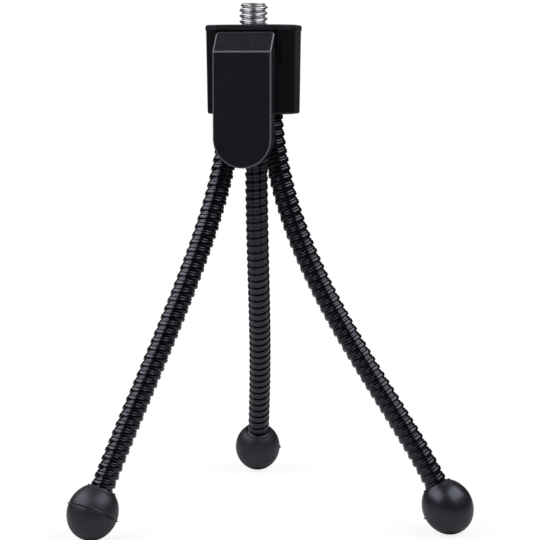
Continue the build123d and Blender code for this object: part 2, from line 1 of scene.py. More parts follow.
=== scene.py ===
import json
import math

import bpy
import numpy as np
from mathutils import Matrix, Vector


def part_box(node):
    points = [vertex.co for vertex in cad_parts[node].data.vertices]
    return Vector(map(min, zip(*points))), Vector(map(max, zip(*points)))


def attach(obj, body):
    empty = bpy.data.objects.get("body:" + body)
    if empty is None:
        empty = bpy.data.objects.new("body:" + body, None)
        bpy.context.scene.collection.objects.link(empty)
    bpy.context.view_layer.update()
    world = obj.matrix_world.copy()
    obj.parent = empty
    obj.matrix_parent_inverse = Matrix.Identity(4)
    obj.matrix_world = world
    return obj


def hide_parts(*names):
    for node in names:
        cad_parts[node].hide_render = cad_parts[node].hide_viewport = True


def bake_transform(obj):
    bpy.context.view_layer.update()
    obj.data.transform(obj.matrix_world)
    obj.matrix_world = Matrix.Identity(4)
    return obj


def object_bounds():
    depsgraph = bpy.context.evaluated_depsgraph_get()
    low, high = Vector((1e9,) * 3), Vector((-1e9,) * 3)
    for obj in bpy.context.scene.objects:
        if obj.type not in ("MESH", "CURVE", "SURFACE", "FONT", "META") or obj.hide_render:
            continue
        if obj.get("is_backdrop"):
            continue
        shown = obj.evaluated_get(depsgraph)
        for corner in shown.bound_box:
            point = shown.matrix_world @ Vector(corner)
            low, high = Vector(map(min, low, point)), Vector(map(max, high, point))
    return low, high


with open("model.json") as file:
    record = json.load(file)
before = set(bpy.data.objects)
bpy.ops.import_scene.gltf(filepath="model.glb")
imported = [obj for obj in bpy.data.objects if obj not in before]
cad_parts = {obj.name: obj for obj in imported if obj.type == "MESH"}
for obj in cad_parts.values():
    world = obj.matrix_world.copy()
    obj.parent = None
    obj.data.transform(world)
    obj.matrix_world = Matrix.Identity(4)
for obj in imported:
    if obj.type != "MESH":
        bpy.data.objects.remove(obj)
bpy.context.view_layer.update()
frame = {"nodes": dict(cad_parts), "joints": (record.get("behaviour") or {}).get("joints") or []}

# %% [markdown]
# # A flexible leg tripod
#
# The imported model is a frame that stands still: forty-one pieces in metres, +Z up, feet on the floor.
# Its shapes and sizes are right, but its legs are strings of plain ribs and nothing has a surface.
# This lesson dresses it.  It winds the legs from two wires, moulds the rubber feet, cuts the thread
# of the camera screw, rounds the clip's edges, bends its spring and gives every piece its own finish.
# Then it lights them like a product photograph.  Every piece finds its place in the frame.

MM = 0.001
LEGS = ("left", "rear", "right")


# %% [markdown]
# ## One helper for every new shape
#
# The wires, the feet and the screw are all surfaces over a row of closed rings: a ring round a tube,
# a ring round a ball, or the outline of a wire's section.  Neighbouring rings are joined by quads,
# and the first and last ring are closed by a fan of triangles.  A modifier such as Screw or Skin could
# make some of them, but one function that takes rings of points can make them all, and it leaves the
# author in charge of where each point goes.

# %% A closed surface over rings of points
def fan(ring, middle):
    """Triangles from each side of a ring to one point in its middle."""
    return np.stack([ring, np.roll(ring, -1), np.full(len(ring), middle)], axis=-1)


def ladder(ring):
    """Quads across a ring whose second half mirrors its first, like the rungs of a ladder."""
    half = len(ring) // 2
    right, left = ring[:half], ring[:half - 1:-1]
    return np.stack([right[:-1], right[1:], left[1:], left[:-1]], axis=-1)


def skin(name, ring_sets, sharp_deg=40, rungs=False):
    """One mesh over several sets of rings, each set an array of rings by points by three.

    Point j of ring i is joined to point j + 1 and to the same two points of ring i + 1.
    Counted round, a ring turns to the left when the next ring comes towards the viewer,
    so that the faces look outwards.  The end rings are closed by fans whose middle is the
    mean of the ring, or by ladders.  The faces of set number k take material number k.
    """
    points, faces, numbers = [], [], []
    offset = 0
    for number, rings in enumerate(ring_sets):
        rows, around = rings.shape[:2]
        here = np.arange(rows * around).reshape(rows, around) + offset
        beside = np.roll(here, -1, axis=1)
        start, end = here.max() + 1, here.max() + 2
        quads = np.stack([here[:-1], beside[:-1], beside[1:], here[1:]], axis=-1).reshape(-1, 4)
        points.append(rings.reshape(-1, 3))
        offset = start
        if rungs:
            caps = ladder(here[0])[:, ::-1].tolist() + ladder(here[-1]).tolist()
        else:
            caps = fan(here[0], start)[:, ::-1].tolist() + fan(here[-1], end).tolist()
            points += [rings[:1].mean(axis=1), rings[-1:].mean(axis=1)]
            offset = end + 1
        new_faces = quads.tolist() + caps
        faces += new_faces
        numbers += [number] * len(new_faces)
    mesh = bpy.data.meshes.new(name)
    mesh.from_pydata(np.concatenate(points).tolist(), [], faces)
    mesh.polygons.foreach_set("material_index", numbers)
    mesh.shade_smooth()
    mesh.set_sharp_from_angle(angle=math.radians(sharp_deg))
    piece = bpy.data.objects.new(name, mesh)
    bpy.context.scene.collection.objects.link(piece)
    return piece


def unit(vectors):
    """The same directions with length one."""
    return vectors / np.linalg.norm(vectors, axis=-1, keepdims=True)


print("faces that close a ring of 12 points:", len(fan(np.arange(12), 12)), "by fan,",
      len(ladder(np.arange(12))), "by ladder")


# %% [markdown]
# ## Where each leg runs
#
# A gooseneck bends in one smooth curve, but the frame's leg is eight straight links.  Their joints are
# good marks for a curve: it goes through each joint, with a direction taken from the two neighbours.
# That is a Catmull-Rom spline.  A Bezier curve object could run there too, but the wires ask for places
# by distance.  So the spline is sampled closely and measured, and any distance along the leg, in metres
# from the top, gives a place.

# %% A smooth line through the joints
ABOVE_FIRST_JOINT = 9.0 * MM
LAST_JOINT_TO_BALL = 11.0 * MM
SAMPLES_PER_SPAN = 90


def joint_places(leg):
    """The places of one leg's joints, from the head down."""
    joints = [joint for joint in frame["joints"] if joint["child"].startswith(leg + "_leg_")]
    return np.array([joint["pos_m"] for joint in joints])


def ball_middle(leg):
    """The middle of a foot: level with its box's middle, and one foot link away from the last joint."""
    low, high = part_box(leg + "_foot_ball")
    joint = joint_places(leg)[-1]
    level = np.array([(low.x + high.x) / 2, (low.y + high.y) / 2])
    run = np.linalg.norm(level - joint[:2])
    return np.array([*level, joint[2] - math.sqrt(LAST_JOINT_TO_BALL ** 2 - run ** 2)])


def leg_line(leg):
    """Distances along a leg, and the place at each distance."""
    joints = joint_places(leg)
    top = joints[0] + [0, 0, ABOVE_FIRST_JOINT]
    marks = np.array([top, *joints, ball_middle(leg)])
    slopes = np.empty_like(marks)
    slopes[1:-1] = (marks[2:] - marks[:-2]) / 2
    slopes[0] = marks[1] - marks[0]
    slopes[-1] = marks[-1] - marks[-2]
    t = np.linspace(0, 1, SAMPLES_PER_SPAN, endpoint=False)[:, None]
    spans = [
        (2 * t**3 - 3 * t**2 + 1) * marks[k] + (t**3 - 2 * t**2 + t) * slopes[k]
        + (3 * t**2 - 2 * t**3) * marks[k + 1] + (t**3 - t**2) * slopes[k + 1]
        for k in range(len(marks) - 1)
    ]
    places = np.concatenate([*spans, marks[-1:]])
    steps = np.linalg.norm(np.diff(places, axis=0), axis=1)
    return np.concatenate([[0], np.cumsum(steps)]), places


def along(line, distances):
    """Places at these distances along a line; past its ends it runs on straight."""
    lengths, places = line
    inside = np.clip(distances, lengths[0], lengths[-1])
    found = np.stack([np.interp(inside, lengths, places[:, axis]) for axis in range(3)], axis=-1)
    before = (distances - inside)[..., None]
    end_way = unit(places[-1] - places[-2])
    start_way = unit(places[1] - places[0])
    return found + np.where(before > 0, before * end_way, before * start_way)


lines = {leg: leg_line(leg) for leg in LEGS}
for leg in LEGS:
    length = lines[leg][0][-1] / MM
    print(leg, "leg:", round(length, 1), "mm from the top of its line to the ball's middle")


# %% [markdown]
# ## Winding the gooseneck
#
# The real leg is two wires wound side by side.  One is a flat block that stands out.  The other was
# round and is pressed nearly square.  It lies deeper, tight against the block on one side, and leaves a
# narrow dark gap on the other.  On the front legs that gap is below each block.  The rear leg's
# gooseneck is fitted the other way up.  The winding is right-handed, as in the photograph.
#
# A Screw modifier winds a section round a straight axis, but here the axis bends.  So each wire is its
# section swept round the leg's line, once every 1.97 mm: at distance s the section stands at the angle
# 2 pi s / pitch, and each of its points has a distance along the leg and a radius.
#
# Each leg is cut half-way between its joints, one piece for each joint.  Neighbouring pieces start from the
# same ring, so they meet without a gap.

# %% The wires' sections
PITCH = 1.97 * MM
STEPS_PER_TURN = 28
CREST_R = 2.6 * MM
ROUND_WIRE_HALF_WIDTH = 0.35 * MM
ROUND_WIRE_HALF_HEIGHT = 0.34 * MM
ROUND_WIRE_OUT = 2.08 * MM
ROUND_WIRE_FROM_BLOCK = 0.775 * MM
ROUND_WIRE_POWER = 0.68
ROUND_WIRE_POINTS = 16
CORE_R = 2.24 * MM
CORE_POINTS = 20
CORE_STEP = 7
BLEND_SHARE = 0.42
END_INSIDE_BALL = 2.0 * MM

block_half = np.array([(0.43, 1.50), (0.43, 2.54), (0.32, 2.58), (0.17, 2.595)]) * MM
block_section = np.concatenate([block_half, [(0, CREST_R)], block_half[::-1] * (-1, 1)])
around = np.linspace(0, 2 * math.pi, ROUND_WIRE_POINTS, endpoint=False)[:, None]
oval = np.hstack([np.cos(around), np.sin(around)])
oval = np.sign(oval) * np.abs(oval) ** ROUND_WIRE_POWER * (ROUND_WIRE_HALF_WIDTH, ROUND_WIRE_HALF_HEIGHT)
# Distances run down the leg: the rear leg's round wire follows a block, the others' comes before the next
round_wire_along = {"left": PITCH - ROUND_WIRE_FROM_BLOCK, "rear": ROUND_WIRE_FROM_BLOCK,
                    "right": PITCH - ROUND_WIRE_FROM_BLOCK}
round_sections = {leg: oval + (round_wire_along[leg], ROUND_WIRE_OUT) for leg in LEGS}
print("block wire", len(block_section), "points round, round wire", len(oval))


# %% Sweep a wire or the core along a stretch of leg
def leg_axes(line, distances):
    """Two directions across the leg and the one along it, at each distance."""
    step = 0.2 * MM
    down = unit(along(line, distances + step) - along(line, distances - step))
    first_way = unit(along(line, line[0][-1:])[0] - along(line, line[0][:1])[0])
    level = unit(np.cross(first_way, (0, 0, 1)))
    across = unit(level - (down @ level)[:, None] * down)
    return across, np.cross(down, across), down


def wound(line, distances, section):
    """Rings of a wire: place(s + a) + r (cos across + sin other), turned by 2 pi s / pitch."""
    across, other, _ = leg_axes(line, distances)
    turn = (2 * math.pi * distances / PITCH)[:, None]
    outward = np.cos(turn) * across + np.sin(turn) * other
    middle = along(line, distances[:, None] + section[None, :, 0])
    return middle + outward[:, None, :] * section[None, :, 1, None]


def core(line, distances):
    """Rings of the plain tube in the gaps between the wires, finished in painted shade so that the gaps
    look dark.
    """
    across, other, _ = leg_axes(line, distances)
    angle = np.linspace(0, 2 * math.pi, CORE_POINTS, endpoint=False)[None, :, None]
    outward = np.cos(angle) * across[:, None, :] + np.sin(angle) * other[:, None, :]
    return along(line, distances)[:, None, :] + CORE_R * outward


print("turns of wire on the left leg:", round(lines["left"][0][-1] / PITCH, 1))


# %% Wind each leg, piece by piece
goosenecks = []
for leg in LEGS:
    line = lines[leg]
    joints = joint_places(leg)
    nearest = [int(np.argmin(np.linalg.norm(line[1] - joint, axis=1))) for joint in joints]
    joint_at = line[0][nearest]
    cuts = [0, *((joint_at[:-1] + joint_at[1:]) / 2), line[0][-1] - END_INSIDE_BALL]
    steps = np.round(np.array(cuts) / PITCH * STEPS_PER_TURN).astype(int)
    links = np.diff(joint_at, append=joint_at[-1] + LAST_JOINT_TO_BALL)
    for k in range(len(joints)):
        distances = np.arange(steps[k], steps[k + 1] + 1) * PITCH / STEPS_PER_TURN
        rows = len(distances) // CORE_STEP
        core_distances = np.linspace(distances[0], distances[-1], rows)
        ring_sets = [wound(line, distances, block_section), wound(line, distances, round_sections[leg]),
                     core(line, core_distances)]
        piece = skin(f"{leg}_wound_wire_{k + 1}", ring_sets, sharp_deg=60)
        reach = BLEND_SHARE * links[k]
        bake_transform(piece)
        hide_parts(f"{leg}_gooseneck_{k + 1}")
        if k == 0:
            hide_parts(f"{leg}_gooseneck_root")
        goosenecks.append(piece)
wire_faces = sum(len(piece.data.polygons) for piece in goosenecks)
print(len(goosenecks), "pieces of gooseneck,", wire_faces, "faces")


# %% [markdown]
# ## Rubber feet
#
# Each foot is a ball that is a little longer along the leg than across it, with a sunk mouth where the
# leg enters.  It was moulded in two halves.  Where they met, a thin ridge runs round the middle with a
# fine groove under it, and a small nub of rubber stands where the mould let it in.  The left foot has the
# strongest seam, and it leans.  The other two were trimmed nearly smooth.
#
# A sphere that is pulled longer has no rings where the mouth and the seam need them.  So the ball is
# turned from a profile, and ridge, groove and nubs are added to its radius, each a smooth bump:
# height times exp(-(distance / width) squared).

# %% The foot's profile
BALL_R = 5.55 * MM
BALL_HALF_LENGTH = 6.17 * MM
BALL_END_R = 5.2 * MM
RIDGE_WIDTH = 0.11 * MM
GROOVE_BELOW = 0.17 * MM
GROOVE_SHARE = 2.0
NUB_HEIGHT = 0.33 * MM
NUB_WIDTH = 0.45 * MM
NUB_FLATTER = 2.6
BALL_COLUMNS = 128
MOUTH_R = 3.0 * MM
SEAM_HALF_ANGLE = 0.17
SEAM_RINGS, UPPER_RINGS, LOWER_RINGS = 49, 26, 38
ANGLE_BELOW_MOUTH, ANGLE_BESIDE_SEAM, ANGLE_BEFORE_POLE = 0.06, 0.04, 0.02

end_out = BALL_HALF_LENGTH - BALL_END_R
side_r = (BALL_R**2 + end_out**2 - BALL_END_R**2) / (2 * (BALL_R - BALL_END_R))
join_angle = math.atan2(side_r - BALL_R, end_out)


def ball_profile(angle):
    """Height along the leg and radius, for angles from the ball's top: two arcs that meet smoothly."""
    up = np.sign(np.cos(angle))
    on_end = np.abs(np.cos(angle)) > math.cos(join_angle)
    height = np.where(on_end, up * end_out + BALL_END_R * np.cos(angle), side_r * np.cos(angle))
    radius = np.where(on_end, BALL_END_R * np.sin(angle), BALL_R - side_r + side_r * np.sin(angle))
    return height, radius


mouth_angle = math.asin(MOUTH_R / BALL_END_R)
mouth_height = float(ball_profile(np.array([mouth_angle]))[0][0])
# From the glue against the leg, down into the mouth and over its rounded rim
mouth_steps = np.array([(2.30, 0.10), (2.58, 0.06), (2.70, -0.16), (2.84, -0.20),
                        (2.93, -0.10), (2.99, 0.08), (3.08, 0.13), (3.19, 0.10)]) * MM
seam_angles = math.pi / 2 + np.linspace(-SEAM_HALF_ANGLE, SEAM_HALF_ANGLE, SEAM_RINGS)
ball_angles = np.concatenate([
    np.linspace(mouth_angle + ANGLE_BELOW_MOUTH, seam_angles[0] - ANGLE_BESIDE_SEAM, UPPER_RINGS),
    seam_angles,
    np.linspace(seam_angles[-1] + ANGLE_BESIDE_SEAM, math.pi - ANGLE_BEFORE_POLE, LOWER_RINGS)])
print("foot profile:", len(mouth_steps) + len(ball_angles), "rings")
print("its mouth is", round(mouth_height / MM, 2), "mm above the ball's middle")


# %% Turn the three feet
VIEW_AZIMUTH = math.radians(13.5)
CAMERA_RIGHT = (math.cos(VIEW_AZIMUTH), math.sin(VIEW_AZIMUTH), 0)
# Each foot's ridge height, the angles where nubs stand on it, and how far its seam leans
FOOT_SEAMS = {
    "left": (0.10 * MM, (0, math.pi), 0.45 * MM),
    "rear": (0.012 * MM, (0,), 0.0),
    "right": (0.008 * MM, (math.pi,), 0.0),
}


def foot(leg, ridge_height, nub_angles, seam_lean):
    """A ball with its mouth towards the leg; nub angles count round from the camera's right.

    The seam's plane leans, so that its height along the leg is less by the lean at the ball's back and
    more at its front.
    """
    middle = ball_middle(leg)
    up = unit(joint_places(leg)[-1] - middle)
    right = unit(np.array(CAMERA_RIGHT) - up * (up @ CAMERA_RIGHT))
    back = np.cross(up, right)
    height, radius = ball_profile(ball_angles)
    height = np.concatenate([mouth_height + mouth_steps[:, 1], height])[:, None]
    radius = np.concatenate([mouth_steps[:, 0], radius])[:, None]
    turn = np.linspace(0, 2 * math.pi, BALL_COLUMNS, endpoint=False)[None, :]
    off_seam = height + seam_lean * np.sin(turn)
    radius = radius + ridge_height * np.exp(-(off_seam / RIDGE_WIDTH) ** 2)
    radius = radius - ridge_height * GROOVE_SHARE * np.exp(-((off_seam + GROOVE_BELOW) / RIDGE_WIDTH) ** 2)
    for nub in nub_angles:
        apart = BALL_R * np.abs((turn - nub + math.pi) % (2 * math.pi) - math.pi)
        off_nub = (apart / NUB_WIDTH) ** 2 + (height * NUB_FLATTER / NUB_WIDTH) ** 2
        radius = radius + NUB_HEIGHT * np.exp(-off_nub)
    rings = (middle + height[..., None] * up
             + radius[..., None] * (np.cos(turn)[..., None] * right + np.sin(turn)[..., None] * back))
    ball = skin(f"{leg}_rubber_foot", [rings[::-1]], sharp_deg=75)
    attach(ball, f"{leg}_leg_8")
    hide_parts(f"{leg}_foot_ball")
    return ball


feet = [foot(leg, *FOOT_SEAMS[leg]) for leg in LEGS]
print("feet:", [piece.name for piece in feet])


# %% [markdown]
# ## The camera screw's thread
#
# The frame has a plain stud at the size of the thread's crest.  A real quarter-inch camera thread climbs
# 1.27 mm in each turn and is cut about 0.7 mm deep.  A swept ridge on a rod would leave a seam in its
# valley.  But the radius at a height and an angle depends only on how far the height is from the nearest
# crest of the helix, so the thread is one surface with a table of radii: flat on the crest, sloping in
# the flank, and flat again in the root.  At the top the chamfer wins over the thread.

# %% Cut the thread
THREAD_PITCH = 1.27 * MM
THREAD_CREST_R = 3.175 * MM
THREAD_DEPTH = 0.66 * MM
THREAD_COLUMNS = 96
THREAD_ROWS_PER_TURN = 28
CHAMFER = 0.65 * MM
CREST_TURN = 0.29
# How far from the crest's middle a point is, in shares of the pitch, and how deep the cut is there
from_crest_shares = (0.0, 0.05, 0.12, 0.20, 0.28, 0.36, 0.43, 0.5)
depth_shares = (0.0, 0.03, 0.16, 0.37, 0.60, 0.82, 0.95, 1.0)

stud_low, stud_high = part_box("camera_screw")
plate_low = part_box("top_plate")[0]
stud_x, stud_y = (stud_low.x + stud_high.x) / 2, (stud_low.y + stud_high.y) / 2


def camera_thread():
    """Rings of the stud from inside the top plate to its chamfered end."""
    bottom = plate_low.z
    rows = int((stud_high.z - bottom) / THREAD_PITCH * THREAD_ROWS_PER_TURN)
    height = np.linspace(bottom, stud_high.z, rows)[:, None]
    turn = np.linspace(0, 2 * math.pi, THREAD_COLUMNS, endpoint=False)[None, :]
    climb = (stud_high.z - height) / THREAD_PITCH + turn / (2 * math.pi) + CREST_TURN
    from_crest = np.abs(climb % 1 - 0.5)
    radius = THREAD_CREST_R - THREAD_DEPTH * np.interp(0.5 - from_crest, from_crest_shares, depth_shares)
    # The chamfer slopes at 45 degrees: each step down is a step out
    chamfered = THREAD_CREST_R - CHAMFER + (stud_high.z - height)
    radius = np.minimum(radius, chamfered)
    return np.stack([stud_x + radius * np.cos(turn), stud_y + radius * np.sin(turn),
                     np.broadcast_to(height, radius.shape)], axis=-1)


screw = skin("camera_thread", [camera_thread()], sharp_deg=70)
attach(screw, "root")
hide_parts("camera_screw")
print("thread:", len(screw.data.polygons), "faces")


# %% [markdown]
# ## The clip lever
#
# The lever is the piece that the camera sees best: a moulded tray, open at the back, with a flat face,
# a thumb bevel above it and a round lower end.  The frame's lever has a sharp crease between face and
# bevel.  The real one is softly rounded there and along its rim, and these narrow roundings catch the
# light.  A Bevel modifier would round all its edges alike, also those that the mould left sharp.  So it
# is made again as a row of outlines: up the inside of the tray, over its rim, down the outside and round
# its front edge.  The outline's points come in pairs at equal heights, so the face is closed by a ladder
# of flat quads.  One more ring just before each rounding keeps the flat parts flat.
#
# Hands rub such edges paler, and the same thin lines are where the roundings catch the light.  So each
# point also gets a number named edge, from 0 on the flats to 1 on the middle of a rounding and on the
# crease, and the clip's finish paints those places paler: partly wear, partly a painted highlight, weaker
# along the top edge.

# %% The lever's outline and its depth at each height
lever_low, lever_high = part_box("clip_lever")
hinge = [joint for joint in frame["joints"] if joint["name"] == "clip_hinge"][0]["pos_m"]
LEVER_WALL = 1.0 * MM
LEVER_EDGE_R = 0.38 * MM
LEVER_CREASE_R = 0.5 * MM
LEVER_CORNER_R = 0.7 * MM
LEVER_HOLD = 0.05 * MM
RIM_CHAMFER = 0.12 * MM
CREASE_SHINE = 0.16 * MM
TOP_EDGE_BAND = 0.5 * MM
TOP_EDGE_SHARE = 0.2
ROUND_END_DEG = (-87, -3)
ROUND_END_POINTS, CORNER_POINTS, EDGE_RINGS = 29, 8, 7
FINE_BELOW_CREASE, FINE_ABOVE_CREASE = 0.6 * MM, 0.5 * MM
LOWER_SIDE_POINTS, FINE_POINTS, UPPER_SIDE_POINTS = 10, 34, 8
RIM_STEP = 0.2 * MM
RIM_BELOW_HINGE_OUT = 3.45 * MM
RIM_AT_HINGE_OUT = 3.95 * MM
TAB_RISE = 4.4 * MM
TAB_RUN = 3.4 * MM

lever_x = (lever_low.x + lever_high.x) / 2
lever_half = (lever_high.x - lever_low.x) / 2
lever_face = lever_low.y
crease = lever_high.z - TAB_RISE
tip_middle = lever_low.z + lever_half
tab_slope = TAB_RUN / TAB_RISE
crease_reach = LEVER_CREASE_R * math.tan(math.atan(tab_slope) / 2)
tab_wall_out = LEVER_WALL * math.hypot(1, tab_slope)


def outline(inset):
    """Points of the lever's outline, drawn in by inset: up its right side and down its left."""
    half = lever_half - inset
    top = lever_high.z - inset
    corner = max(LEVER_CORNER_R - inset, LEVER_HOLD)
    low_turn = np.radians(np.linspace(*ROUND_END_DEG, ROUND_END_POINTS))
    high_turn = np.radians(np.linspace(0, 90, CORNER_POINTS))
    fine_low, fine_high = crease - FINE_BELOW_CREASE, crease + FINE_ABOVE_CREASE
    side = np.concatenate([
        np.linspace(tip_middle, fine_low, LOWER_SIDE_POINTS, endpoint=False),
        np.linspace(fine_low, fine_high, FINE_POINTS),
        np.linspace(fine_high, lever_high.z - LEVER_WALL - LEVER_CORNER_R, UPPER_SIDE_POINTS)[1:]])
    x = np.concatenate([half * np.cos(low_turn), np.full(len(side), half),
                        half - corner + corner * np.cos(high_turn)])
    z = np.concatenate([tip_middle + half * np.sin(low_turn), side,
                        top - corner + corner * np.sin(high_turn)])
    return np.concatenate([x, -x[::-1]]), np.concatenate([z, z[::-1]])


def face_at(z):
    """Depth of the front: level, then a short arc, then the bevel's slope."""
    past = z - crease
    arc = (past + crease_reach) ** 2 * tab_slope / (4 * crease_reach)
    rise = np.where(past < -crease_reach, 0, np.where(past > crease_reach, past * tab_slope, arc))
    return lever_face + rise


def rim_at(z):
    """Depth of the back rim: level below the hinge, and leaning back above it."""
    heights = (hinge[2] - RIM_STEP, hinge[2], lever_high.z)
    depths = (lever_face + RIM_BELOW_HINGE_OUT, lever_face + RIM_AT_HINGE_OUT, lever_high.y)
    return np.interp(z, heights, depths)


def inside_at(z):
    """Depth of the tray's floor, one wall behind the face and behind the bevel."""
    return lever_face + LEVER_WALL + np.maximum(0, (z - crease) * tab_slope + tab_wall_out - LEVER_WALL)


print("lever:", round(2 * lever_half / MM, 1), "mm wide, crease at", round(crease / MM, 1), "mm")


# %% Skin the lever
def lever_ring(inset, depth_at, out):
    """One outline, at a depth that is given by a height and moved by out."""
    x, z = outline(inset)
    return np.stack([lever_x + x, depth_at(z) + out, z], axis=-1)


edge_turn = np.radians(np.linspace(0, 90, EDGE_RINGS))
rings_before_edge = [
    lever_ring(LEVER_WALL + LEVER_HOLD, inside_at, 0),
    lever_ring(LEVER_WALL, inside_at, 0),
    lever_ring(LEVER_WALL, rim_at, 0),
    lever_ring(RIM_CHAMFER, rim_at, 0),
    lever_ring(0, rim_at, -RIM_CHAMFER),
    lever_ring(0, face_at, LEVER_EDGE_R + LEVER_HOLD),
]
edge_rings = [lever_ring(LEVER_EDGE_R * (1 - math.cos(turn)), face_at, LEVER_EDGE_R * (1 - math.sin(turn)))
              for turn in edge_turn]
face_ring = lever_ring(LEVER_EDGE_R + LEVER_HOLD, face_at, 0)
tray_rings = np.array([*rings_before_edge, *edge_rings, face_ring])
lever = skin("clip_tray", [tray_rings], sharp_deg=35, rungs=True)
plain = np.zeros(len(rings_before_edge))
on_rounding = np.concatenate([plain, np.sin(2 * edge_turn), [0]])[:, None]
on_front = np.concatenate([plain, np.sin(edge_turn), [1]])[:, None]
height = tray_rings[..., 2]
# The paler edges are partly wear and partly a painted highlight on the roundings and the crease; along the
# top edge they are weaker.
on_crease = np.exp(-((height - crease) / CREASE_SHINE) ** 2)
below_top = np.where(height < lever_high.z - TOP_EDGE_BAND, 1.0, TOP_EDGE_SHARE)
edge_wear_and_highlight = lever.data.attributes.new("edge", "FLOAT", "POINT")
edge_wear_and_highlight.data.foreach_set("value", (below_top * np.maximum(on_rounding, on_crease * on_front)).ravel())
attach(lever, "clip")
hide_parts("clip_lever")
print("lever:", len(lever.data.polygons), "faces")


# %% [markdown]
# ## The clip's ears and jaw bars
#
# Behind the face, two round ears carry the pin and two bars stiffen the jaw.  They are only seen from
# behind and when the clip is open, so plain bars do.  A cylinder and a box could be put in, but a bar's
# end outline and its two ends along the pin say the same in one helper for both.

# %% Its hinge ears and the bars across its jaw
EAR_R = 1.2 * MM
EAR_POINTS = 32
BAR_HEIGHTS = (92.6 * MM, 98.2 * MM)
BAR_THICK = 1.0 * MM
BAR_BACK_OUT = 3.45 * MM


def bar_along_x(x_low, x_high, outline_yz):
    """Rings of a straight bar: one outline in y and z, at one x and again at another."""
    ends = np.array([x_low, x_high])[:, None, None] * (1, 0, 0)
    return ends + np.insert(np.asarray(outline_yz), 0, 0, axis=1)


ear_turn = np.linspace(0, 2 * math.pi, EAR_POINTS, endpoint=False)
ear = np.stack([hinge[1] + EAR_R * np.cos(ear_turn), hinge[2] + EAR_R * np.sin(ear_turn)], axis=-1)
inner = lever_half - LEVER_WALL
rib_sets = [bar_along_x(lever_x + low, lever_x + high, ear)
            for low, high in ((-lever_half + RIM_CHAMFER, -inner), (inner, lever_half - RIM_CHAMFER))]
for low in BAR_HEIGHTS:
    front, back = lever_face + LEVER_WALL / 2, lever_face + BAR_BACK_OUT
    bar = [(front, low), (back, low), (back, low + BAR_THICK), (front, low + BAR_THICK)]
    rib_sets.append(bar_along_x(lever_x - inner - LEVER_HOLD, lever_x + inner + LEVER_HOLD, bar))
ribs = skin("clip_ribs", rib_sets)
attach(ribs, "clip")
print("ears and bars:", len(rib_sets))


# %% [markdown]
# ## The spring behind the clip
#
# A torsion spring sits round the clip's pin.  Its first arm presses on the housing and its last arm on
# the thumb tab.  The frame's spring is one stiff solid, so a clip that opens would swing its tab into the
# arm.  In a real spring the arm goes with the tab, and the turns between share out the twist.  The wire
# could be cut into stiff pieces, but then it would part when it twists.  So it is one tube on a helix,
# with a straight arm at each end.

# %% Bend the spring's wire
SPRING_R = 0.95 * MM
SPRING_WIRE_R = 0.175 * MM
SPRING_SPAN = 4.2 * MM
SPRING_ARM = 2.8 * MM
SPRING_START_DEG = -28.7
SPRING_TURNED_DEG = 1629.0
SPRING_STEP_DEG = 12
SPRING_POINTS = 12

pin_middle = np.array([lever_x, hinge[1], hinge[2]])
turned = np.radians(np.linspace(0, SPRING_TURNED_DEG, round(SPRING_TURNED_DEG / SPRING_STEP_DEG) + 1))
facing = math.radians(SPRING_START_DEG) - turned
coil = pin_middle + np.stack([(turned / turned[-1] - 0.5) * SPRING_SPAN, SPRING_R * np.cos(facing),
                              SPRING_R * np.sin(facing)], axis=-1)
coil_ways = unit(np.stack([np.full(len(turned), SPRING_SPAN / turned[-1]), SPRING_R * np.sin(facing),
                           -SPRING_R * np.cos(facing)], axis=-1))
first_end = coil[:1] - SPRING_ARM * coil_ways[:1]
last_end = coil[-1:] + SPRING_ARM * coil_ways[-1:]
spring_places = np.concatenate([first_end, coil, last_end])
spring_ways = np.concatenate([coil_ways[:1], coil_ways, coil_ways[-1:]])


def wire_rings(places, ways, radius):
    """Round rings of a wire, each square to the way that the wire runs there."""
    across = unit(np.array([1.0, 0, 0]) - ways[:, :1] * ways)
    other = np.cross(ways, across)
    angle = np.linspace(0, 2 * math.pi, SPRING_POINTS, endpoint=False)[None, :, None]
    return places[:, None] + radius * (np.cos(angle) * across[:, None] + np.sin(angle) * other[:, None])


spring = skin("clip_spring_wire", [wire_rings(spring_places, spring_ways, SPRING_WIRE_R)])
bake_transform(spring)
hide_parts("clip_spring")
print("spring:", round(SPRING_TURNED_DEG / 360, 1), "turns,", len(spring.data.polygons), "faces")


# %% [markdown]
# ## Finishes
#
# Black plastic, black enamel and black rubber differ in how they scatter light, not in colour.  So each
# finish gets its own roughness and a fine relief, and small changes of both over the surface keep it from
# looking computed.  They could be painted as pictures, but noise in the piece's own coordinates needs no
# unwrapping and stays sharp at any distance.  One node group makes the changes for all the finishes, and
# each material says how strong they are.

# %% A node group for grain, clouding and dust
def add(tree, kind, **settings):
    """A new node with its settings; a key that names an input sets that input's value."""
    node = tree.nodes.new(kind)
    for key, value in settings.items():
        if key in node.inputs:
            node.inputs[key].default_value = value
        else:
            setattr(node, key, value)
    return node


def ramp(tree, source, ends, values, smooth=False):
    """A source that runs between two ends becomes a number that runs between two values."""
    node = add(tree, "ShaderNodeMapRange", interpolation_type="SMOOTHSTEP" if smooth else "LINEAR")
    for name, value in zip(("From Min", "From Max", "To Min", "To Max"), (*ends, *values)):
        node.inputs[name].default_value = value
    tree.links.new(source, node.inputs["Value"])
    return node.outputs["Result"]


MM_PER_METRE = 1000.0
CLOUD_SCALE, SPECK_SCALE = 260.0, 2600.0
CLOUD_ENDS, CLOUD_SHADES = (0.3, 0.7), (0.92, 1.08)
DUST_ENDS, DUST_AMOUNTS = (0.66, 0.74), (0.0, 1.0)


